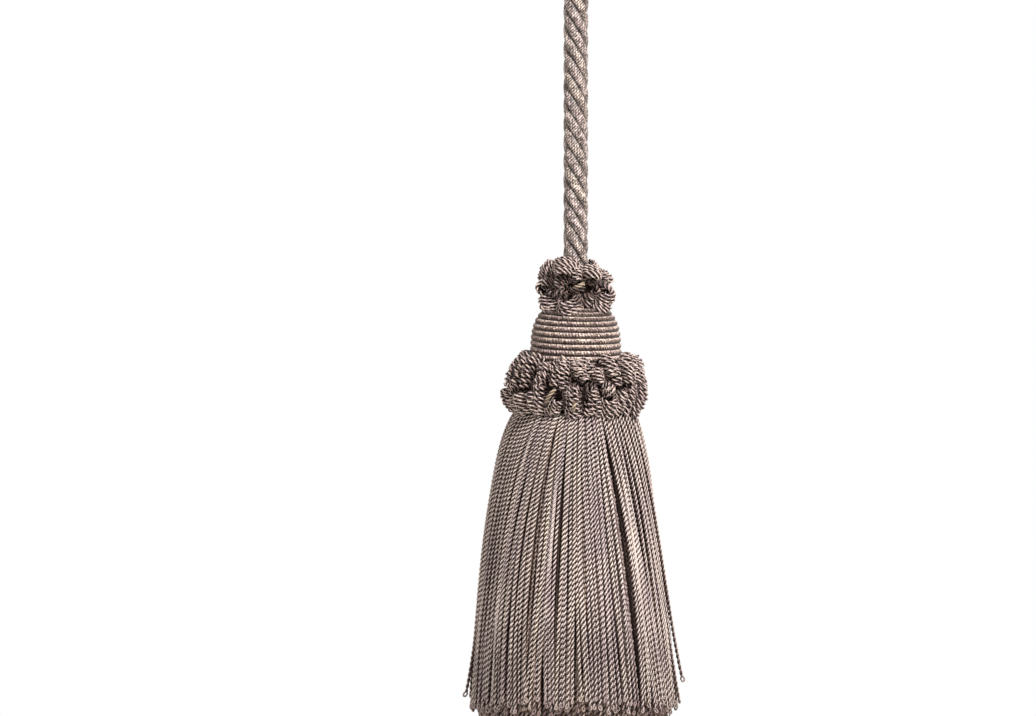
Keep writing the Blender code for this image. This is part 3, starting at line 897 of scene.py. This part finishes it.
skirt_chance = np.random.default_rng(11)
outer_batch, outer_azimuth, outer_lines, outer_shade = lay_strands(OUTER, skirt_chance, STRAYS)
outer_loops = end_loops(outer_lines, outer_shade, skirt_chance, 0.0)
third = np.floor(outer_azimuth / (2 * np.pi) * len(THIRDS) - 1e-9).astype(int)
skirt_pieces = []
for number, name in enumerate(THIRDS):
    batches = [part_of(batch, third == number) for batch in (outer_batch, outer_loops)]
    skirt_pieces.append(make_piece(name, batches))
second_batch, _, second_lines, second_shade = lay_strands(SECOND, skirt_chance, behind=SECOND_PAINTED_SHADE)
second_loops = end_loops(second_lines, second_shade, skirt_chance, SECOND_PAINTED_SHADE)
inside_batches = []
for layer in INSIDE:
    inside_batches.append(lay_strands(layer, skirt_chance, seen=SEEN_END, behind=INSIDE_PAINTED_SHADE)[0])
skirt_pieces.append(make_piece("skirt_second_layer", [second_batch, second_loops]))
skirt_pieces.append(make_piece("skirt_inside", inside_batches))

# %% Skirt finish and heading
# Skirt yarn: crest, flank and groove, with a painted highlight on the crest and painted shade in the
# groove. The ramp below is painted shade between strands.
SKIRT_COLOURS_WITH_PAINTED_LIGHT = [(219, 214, 209), (182, 170, 163), (62, 46, 40)]
PAINTED_SHADE_BETWEEN_STRANDS = [
    (0.06, (1, 1, 1, 1)),
    (0.28, (0.63, 0.59, 0.57, 1)),
    (0.48, (0.34, 0.255, 0.225, 1)),
    (0.75, (0.17, 0.108, 0.088, 1)),
]
HEADING_PROFILE = [(0.3, 110.8), (16.3, 110.8), (16.3, 104.4), (18.4, 101.9), (18.8, 99.8), (0.3, 99.8)]
skirt_finish = yarn_finish(
    "skirt_yarn", 2, SKIRT_COLOURS_WITH_PAINTED_LIGHT, spread=0.9, hollow=1.0, sunk=PAINTED_SHADE_BETWEEN_STRANDS
)
heading = make_piece("skirt_heading", [turned_batch(HEADING_PROFILE)])
heading.data.materials.append(shadow_cloth)
for piece in skirt_pieces:
    piece.data.materials.append(skirt_finish)
for piece in (*skirt_pieces, heading):
    stands_for(piece, "skirt")

# %% [markdown]
# ## The looped ruffs
# A looped ruff is a long band of yarn loops, sewn along its middle and gathered. The gathers push the
# loops into petals. In each petal the loops lie on each other like fish scales: the longest lies at the
# back, and each next one is shorter and stands further out, so only the bends of the loops show.
# So a petal here is a stack of loops that starts at one place on the seam and points one way. Its way
# is an angle in the plane that touches the ruff there: a quarter turn is straight up, and less leans to
# the right. The loops' tips follow a bent line, given as their reach from the seam and their radius, and
# each loop is domed: its middle stands further out than its sides. A crown, the oval that a whole ruff
# fills, tells how deep a point lies, and the finish paints shade there and on the side of each yarn
# that faces in.

# %% One petal
Petal = namedtuple("Petal", "azimuth seam way reach width bulge loops", defaults=[7])
Stack = namedtuple("Stack", "root_radius tips half_widths steps yarn")
PETAL_DOME = 1.9


def along_curve(points, share):
    """Places on a bent line, by their share of its length."""
    points = np.array(points, float)
    runs = np.concatenate([[0.0], np.cumsum(np.hypot(*np.diff(points, axis=0).T))])
    return [np.interp(np.array(share) * runs[-1], runs, points[:, i]) for i in range(2)]


def loop_line(reach, tip_radius, root_radius, half_width, steep, steps):
    """A loop from the seam to its bend and back, as its reach, its radius and its sideways shift.
    Steep is the angle at which its bend points along the ruff instead of out of it."""
    bend = min(half_width, 0.6 * reach)
    turn = np.linspace(0.0, math.pi, steps // 2)
    leg = np.linspace(0.0, 1.0, (steps - len(turn)) // 2 + 1)[:-1]
    forward = np.concatenate([leg, 1 + bend * np.sin(turn) / reach, leg[::-1]])
    leg_aside = half_width * (0.75 + 0.25 * leg)
    aside = np.concatenate([-leg_aside, -half_width * np.cos(turn), leg_aside[::-1]])
    run = math.hypot(reach, tip_radius - root_radius)
    hold = 0.55 * run
    control = np.array([reach - hold * math.sin(steep), tip_radius - hold * math.cos(steep)])
    root, tip = np.array([0.1 * reach, root_radius]), np.array([reach, tip_radius])
    t = np.clip(forward * reach / (reach + bend), 0.0, 1.0)[:, None]
    place = (1 - t) ** 2 * root + 2 * t * (1 - t) * control + t ** 2 * tip
    domed = place[:, 1] - PETAL_DOME * (aside / half_width) ** 2 * t[:, 0]
    return place[:, 0], domed, aside


def petal_lines(petal, stack, chance):
    """Lines of all loops of one petal."""
    count = len(stack.half_widths)
    share = np.arange(count) / (count - 1)
    reaches, radii = along_curve(stack.tips, share)
    steeps = np.radians(np.interp(share, [0, 1], [80.0, 28.0]))
    lines = []
    slide = chance.uniform(-0.25, 0.25, 2)[0]
    for i in range(min(count, petal.loops)):
        reach = reaches[i] * petal.reach + chance.uniform(-0.2, 0.2)
        radius = radii[i] + petal.bulge + chance.uniform(-0.2, 0.2)
        half_width = stack.half_widths[i] * petal.width * chance.uniform(0.93, 1.07)
        way = petal.way + chance.uniform(-0.07, 0.07)
        shape = loop_line(reach, radius, stack.root_radius, half_width, steeps[i], stack.steps)
        along, out, aside = shape
        aside = aside + slide * (1 + i) * 0.5 + chance.uniform(-0.12, 0.12)
        sideways = along * math.cos(way) + aside * math.sin(way)
        upward = along * math.sin(way) - aside * math.cos(way)
        angle = petal.azimuth + sideways / np.maximum(out, 0.6 * radius)
        x, y = out * np.cos(angle), out * np.sin(angle)
        lines.append(np.stack([x * MM, y * MM, level(petal.seam + upward)], axis=1))
    return lines


# %% Rows of petals
Crown = namedtuple("Crown", "radius height out up")
# Painted shade in the ruffs: a little on all yarn, more on the side of a yarn that faces in, and more
# the deeper a point lies in the crown.
YARN_PAINTED_SHADE = 0.18
YARN_SIDE_PAINTED_SHADE = 1.5
DARKENS_AT = 0.98
DARKENS_OVER = 0.45


def sunk_in(points, crown):
    """How deep points lie in a ruff, whose surface is an oval turned about the middle."""
    reach = np.linalg.norm(points[..., :2], axis=-1) / MM
    height = points[..., 2] / MM + EYE_INSIDE_TOP
    share = np.hypot((reach - crown.radius) / crown.out, (height - crown.height) / crown.up)
    return (DARKENS_AT - share) / DARKENS_OVER


def lay_petals(petals, stack, chance, crown, outline=TWO_PLY):
    lines = []
    for petal in petals:
        lines += petal_lines(petal, stack, chance)
    lines = np.array(lines)
    shade = np.clip(0.45 + chance.normal(0.0, 0.2, (len(lines), 1)), 0.0, 1.0)
    start = chance.uniform(0.0, 2 * np.pi, len(lines))
    size = stack.yarn * chance.uniform(0.93, 1.07, (len(lines), 1))
    batch = lay_yarn(lines, outline, twist(lines, SKIRT_TWIST, start), size, shade=shade)
    # Painted shade: darker deep in the ruff and on the side of each yarn that faces in.
    sunk = sunk_in(batch.rings, crown)
    side = sunk_in(lines[:, :, None], crown) - sunk
    batch.marks["deep"] = np.clip(YARN_PAINTED_SHADE - YARN_SIDE_PAINTED_SHADE * side + sunk, 0.0, 1.0)
    return batch


UP, DOWN = math.pi / 2, -math.pi / 2
SEAM_WANDER = 0.9
RUFF_TILT = 1.3
FULL_PETALS = 0.85


def petal_row(count, shift, seam, way, lean, chance):
    """Petals round the ruff whose seam wanders up and down and whose ways lean at random."""
    petals = []
    for number in range(count):
        azimuth = 2 * math.pi * (number + shift + chance.uniform(-0.1, 0.1)) / count + DOWN
        wander = SEAM_WANDER * math.sin(3 * azimuth + 0.6) + SEAM_WANDER * math.sin(8 * azimuth)
        wander += RUFF_TILT * math.cos(azimuth - DOWN - 1.2)
        seam_here = seam + wander + chance.uniform(-0.8, 0.8)
        leaning = lean * (0.7 * math.sin(4 * azimuth + shift) + chance.uniform(-0.6, 0.6))
        reach = chance.uniform(0.92, 1.05) - math.sin(way) * (seam_here - seam) / 9.5
        width, bulge = chance.uniform(0.84, 1.16), chance.uniform(-1.3, 0.7)
        loops = 8 if chance.random() < FULL_PETALS else 5
        petals.append(Petal(azimuth, seam_here, way + leaning, reach, width, bulge, loops))
    return petals


# %% [markdown]
# ## The ruff over the skirt
# Twenty-five petals stand up against the head and as many hang over the skirt's heading. Smaller ones
# lie between them and point sideways, and a deep row closes what is left, so that no hole shows. A band
# painted near-black as shadow lies behind them all.

# %% Skirt ruff
HANGING = Stack(
    19.3, [(9.4, 21.6), (7.9, 22.6), (6.2, 23.4), (4.4, 24.0), (2.7, 24.3), (1.4, 24.2)],
    [2.35, 2.4, 2.4, 2.3, 2.15, 1.95, 1.7], 24, 1.34,
)
STANDING = Stack(
    18.2, [(11.0, 17.9), (9.5, 19.9), (7.7, 21.6), (5.8, 22.8), (3.8, 23.6), (2.0, 23.9)],
    [2.0, 2.2, 2.35, 2.4, 2.35, 2.2, 2.0, 1.7], 24, 1.34,
)
RUFF_SEAM = 110.0
SKIRT_CROWN = Crown(17.5, RUFF_SEAM, 6.8, 10.5)
BETWEEN = Stack(
    19.5, [(5.2, 22.9), (4.0, 23.8), (2.6, 24.3), (1.5, 24.4)],
    [2.2, 2.1, 1.9, 1.6, 1.2], 20, 1.25,
)
DEEP = Stack(19.0, [(4.8, 21.3), (3.4, 22.2), (2.0, 22.4)], [2.3, 2.1, 1.7], 16, 1.25)
ruff_chance = np.random.default_rng(8)
hanging_row = petal_row(25, 0.0, RUFF_SEAM, DOWN, 0.5, ruff_chance)
standing_row = petal_row(25, 0.5, RUFF_SEAM - 0.4, UP, 0.5, ruff_chance)
between_row = petal_row(22, 0.25, RUFF_SEAM, DOWN, 0.9, ruff_chance)
for number, petal in enumerate(between_row):
    turned = petal.way + (1.2 if number % 2 else -1.2)
    between_row[number] = petal._replace(way=turned, bulge=petal.bulge * 0.5 - 1.2)
between_row.append(Petal(DOWN + 0.36, RUFF_SEAM + 0.8, UP + 0.2, 1.15, 1.0, -1.0))
deep_row = petal_row(33, 0.1, RUFF_SEAM, DOWN, 0.9, ruff_chance)
for number, petal in enumerate(deep_row):
    rise, way = ((3.0, UP), (-2.6, DOWN), (0.6, DOWN + 2.4 * number))[number % 3]
    deep_row[number] = petal._replace(way=way, seam=RUFF_SEAM + rise, bulge=0.0, loops=8)
skirt_ruff = make_piece("looped_skirt_ruff", [
    lay_petals(deep_row, DEEP, ruff_chance, SKIRT_CROWN, TWO_PLY_PLAIN),
    lay_petals(hanging_row, HANGING, ruff_chance, SKIRT_CROWN),
    lay_petals(standing_row, STANDING, ruff_chance, SKIRT_CROWN),
    lay_petals(between_row, BETWEEN, ruff_chance, SKIRT_CROWN),
])

# %% [markdown]
# ## The small top ruff
# It is made as the large one is, but its loops are as long as the large ruff's on a much smaller ring,
# so it has few petals and they flop about. Those on the front are listed one by one, because a rose of
# loops is what one looks at, and the ones behind are strewn. Smaller petals fill the ring behind them,
# and four more are tucked in where the front ones part.

# %% Top ruff
FLOPPY = Stack(
    6.2, [(8.2, 9.8), (7.2, 11.2), (5.8, 12.2), (4.2, 12.8), (2.6, 13.0)],
    [3.9, 3.8, 3.5, 3.1, 2.6, 2.0, 1.4], 38, 1.32,
)
FILLING = Stack(
    5.6, [(7.0, 8.6), (5.6, 10.4), (3.8, 11.4), (2.2, 11.6)],
    [3.0, 2.9, 2.6, 2.1, 1.5], 24, 1.32,
)
TOP_SEAM = 142.2
TOP_CROWN = Crown(5.0, TOP_SEAM, 8.4, 9.6)
FRONT = [
    Petal(DOWN - 0.50, 144.3, UP + 0.12, 1.02, 1.3, -1.0, 6),
    Petal(DOWN + 0.52, 144.2, UP - 0.5, 0.74, 1.0, -0.6, 6),
    Petal(DOWN - 1.12, 143.4, math.pi + 0.35, 0.85, 1.15, 0.6, 5),
    Petal(DOWN - 0.40, 141.9, DOWN + 0.08, 1.2, 1.2, -0.1, 6),
    Petal(DOWN + 0.84, 143.4, DOWN + 0.95, 1.08, 1.4, 1.5, 7),
    Petal(DOWN + 1.02, 140.8, DOWN + 0.2, 0.85, 1.0, 0.6, 5),
    Petal(DOWN + 0.02, 147.4, DOWN + 0.1, 0.75, 0.85, -2.4, 3),
    Petal(DOWN - 1.0, 139.8, DOWN - 0.35, 0.68, 0.9, 0.6, 4),
    Petal(DOWN + 0.14, 140.6, DOWN, 0.6, 0.8, -2.4, 3),
    Petal(DOWN - 1.35, 141.4, math.pi - 0.3, 0.7, 0.9, 0.2, 5),
]
TUCKED = [
    Petal(DOWN - 1.2, 140.2, UP + 0.25, 0.75, 1.1, -1.0, 5),
    Petal(DOWN - 1.5, 139.4, UP + 0.1, 0.7, 0.9, -1.6, 5),
    Petal(DOWN + 0.45, 142.6, DOWN + 1.2, 0.8, 0.8, -2.0, 5),
    Petal(DOWN - 0.2, 142.8, DOWN - 1.3, 0.6, 0.8, -2.4, 4),
]
petal_chance = np.random.default_rng(5)
back_petals = []
for number in range(5):
    azimuth = UP + (number - 2) * 0.72
    reach = 0.62 if number == 0 else 1.0
    way = UP + petal_chance.uniform(-0.4, 0.4)
    back_petals.append(Petal(azimuth, TOP_SEAM + 0.6, way, reach, 1.1, -0.7))
    azimuth += 0.36 + petal_chance.uniform(-0.1, 0.1)
    way = DOWN + petal_chance.uniform(-0.4, 0.4)
    back_petals.append(Petal(azimuth, TOP_SEAM - 0.4, way, 1.05, 1.15, 0.0))
filling = []
for number, petal in enumerate(petal_row(15, 0.2, TOP_SEAM, UP, 0.8, petal_chance)):
    turned = petal.way + number * 2.4
    deep = -1.1 if math.sin(petal.azimuth) < -0.7 else -0.6
    filling.append(petal._replace(way=turned, width=0.95, reach=0.9, bulge=deep))
top_ruff = make_piece("looped_top_ruff", [
    lay_petals(FRONT + back_petals, FLOPPY, petal_chance, TOP_CROWN),
    lay_petals(filling, FILLING, petal_chance, TOP_CROWN),
    lay_petals(TUCKED, FLOPPY, petal_chance, TOP_CROWN),
])

# %% [markdown]
# ## Bands and bits of core
# Behind the loops a band, painted near-black as shadow, closes each ruff. Where petals part, a bit of
# the thicker olive core that the loops are sewn over shows. A whole ring of it would be wrong, so there
# are only a few short bits.

# %% Ruff finish, bands and core bits
# Crest, flank and groove of the ruff yarn and of the core, with a painted highlight on the crest and
# painted shade in the groove.
RUFF_COLOURS_WITH_PAINTED_LIGHT = [(216, 202, 192), (94, 77, 71), (30, 20, 17)]
CORE_COLOURS_WITH_PAINTED_LIGHT = [(176, 162, 138), (130, 115, 98), (60, 49, 40)]
ruff_finish = yarn_finish("ruff_yarn", 2, RUFF_COLOURS_WITH_PAINTED_LIGHT, roughness=0.45, spread=0.8, hollow=0.85)
core_finish = yarn_finish("core_cord", 3, CORE_COLOURS_WITH_PAINTED_LIGHT, spread=0.3)
RUFF_BANDS = {
    "skirt_ruff": [
        (17.0, 118.0), (19.2, 115.6), (20.8, 110.4), (20.4, 105.6), (18.7, 102.6), (17.0, 102.8),
    ],
    "top_ruff": [(4.6, 147.0), (6.0, 146.0), (7.4, 142.0), (7.2, 138.6), (6.2, 136.9), (4.4, 136.9)],
}
CORE_OUTLINE = lobed(0.78, 3, 0.14)
CORE_PITCH = 5.0
CoreBit = namedtuple("CoreBit", "azimuth height radius tilt length")
CORE_BITS = {
    "skirt_ruff": [
        CoreBit(DOWN - 0.40, 107.9, 22.9, 0.9, 6.0),
        CoreBit(DOWN - 0.03, 104.6, 23.4, 1.2, 3.2),
        CoreBit(DOWN + 2.1, 107.5, 22.9, -0.5, 5.0),
        CoreBit(DOWN - 2.3, 108.2, 22.9, 0.6, 5.0),
    ],
    "top_ruff": [
        CoreBit(DOWN + 0.12, 143.6, 9.8, 0.3, 3.6),
        CoreBit(DOWN + 2.6, 142.4, 10.6, -0.4, 4.0),
    ],
}


def core_bit_line(bit, steps=14):
    """A short bit of cord that lies across the ruff, tilted, with both its ends bent inwards."""
    at = np.linspace(-0.5, 0.5, steps)
    angle = bit.azimuth + at * bit.length * math.cos(bit.tilt) / bit.radius
    out = bit.radius - 6.0 * at ** 2
    height = bit.height + at * bit.length * math.sin(bit.tilt)
    return np.stack([out * np.cos(angle) * MM, out * np.sin(angle) * MM, level(height)], axis=1)


for node, loops in (("skirt_ruff", skirt_ruff), ("top_ruff", top_ruff)):
    band = make_piece(node + "_band", [turned_batch(RUFF_BANDS[node])])
    band.data.materials.append(shadow_cloth)
    loops.data.materials.append(ruff_finish)
    bit_lines = np.array([core_bit_line(bit) for bit in CORE_BITS[node]])
    core_yarn = lay_yarn(bit_lines, CORE_OUTLINE, twist(bit_lines, CORE_PITCH), shade=0.9)
    bits = make_piece(node + "_core", [core_yarn])
    bits.data.materials.append(core_finish)
    for piece in (loops, bits, band):
        stands_for(piece, node)

# %% [markdown]
# ## Studio
# The picture has a white ground and soft light that comes mostly from the upper right. A large area
# light gives that, a weaker one opens the shadows from the left, and the sky adds a little from all
# round. The sky looks white to the camera but gives less light than white would, so that the grooves
# stay dark. A pale floor lies well below the tassel, because the tassel hangs.

# %% Lights
AreaLight = namedtuple("AreaLight", "name place size watts")
LIGHTS = [
    AreaLight("key", (0.84, -1.1, 1.15), 0.36, 72.0),
    AreaLight("fill", (-1.3, -1.1, 0.25), 0.9, 9.5),
    AreaLight("back", (0.3, 1.5, 0.9), 0.9, 12.0),
]
TASSEL_MIDDLE = np.array([0.0, 0.0, level(120.0)])


def aim(thing, target):
    direction = np.array(thing.location) - target
    flat = math.hypot(direction[0], direction[1])
    thing.rotation_euler = (
        math.atan2(flat, direction[2]), 0.0, math.atan2(direction[1], direction[0]) + math.pi / 2
    )


for light in LIGHTS:
    data = bpy.data.lights.new(light.name, "AREA")
    data.shape = "DISK"
    data.size = light.size
    data.energy = light.watts
    lamp = bpy.data.objects.new(light.name, data)
    bpy.context.scene.collection.objects.link(lamp)
    lamp.location = light.place
    aim(lamp, TASSEL_MIDDLE)

# %% Sky and floor
SKY_LIGHT = 0.4
world = bpy.data.worlds.new("studio")
bpy.context.scene.world = world
world.use_nodes = True
sky = world.node_tree
ground = sky.nodes["Background"]
ground.inputs["Color"].default_value = (1.0, 0.93, 0.89, 1.0)
ground.inputs["Strength"].default_value = SKY_LIGHT
seen = sky.nodes.new("ShaderNodeBackground")
seen.inputs["Color"].default_value = (1.0, 1.0, 1.0, 1.0)
seen.inputs["Strength"].default_value = 1.0
rays = sky.nodes.new("ShaderNodeLightPath")
either = sky.nodes.new("ShaderNodeMixShader")
sky.links.new(rays.outputs["Is Camera Ray"], either.inputs[0])
sky.links.new(ground.outputs[0], either.inputs[1])
sky.links.new(seen.outputs[0], either.inputs[2])
sky.links.new(either.outputs[0], sky.nodes["World Output"].inputs["Surface"])

FLOOR_LEVEL = -0.62
FLOOR_RADIUS = 2.4
FLOOR_CORNERS = 96
FLOOR_GRAIN = [(0.3, linear(236, 234, 231)), (0.7, linear(243, 241, 238))]
floor_points = []
for corner in range(FLOOR_CORNERS):
    turn = 2 * math.pi * corner / FLOOR_CORNERS
    floor_points.append((FLOOR_RADIUS * math.cos(turn), FLOOR_RADIUS * math.sin(turn), FLOOR_LEVEL))
floor_mesh = bpy.data.meshes.new("floor")
floor_mesh.from_pydata(floor_points, [], [list(range(FLOOR_CORNERS))])
floor = bpy.data.objects.new("floor", floor_mesh)
bpy.context.scene.collection.objects.link(floor)
floor_finish = Finish("floor_paper", 0.7, sheen=0.0, specular=0.2)
floor_finish.colour(floor_finish.ramp(floor_finish.noise(40.0), *FLOOR_GRAIN))
floor_mesh.materials.append(floor_finish.material)

bpy.context.scene.view_settings.view_transform = "Standard"
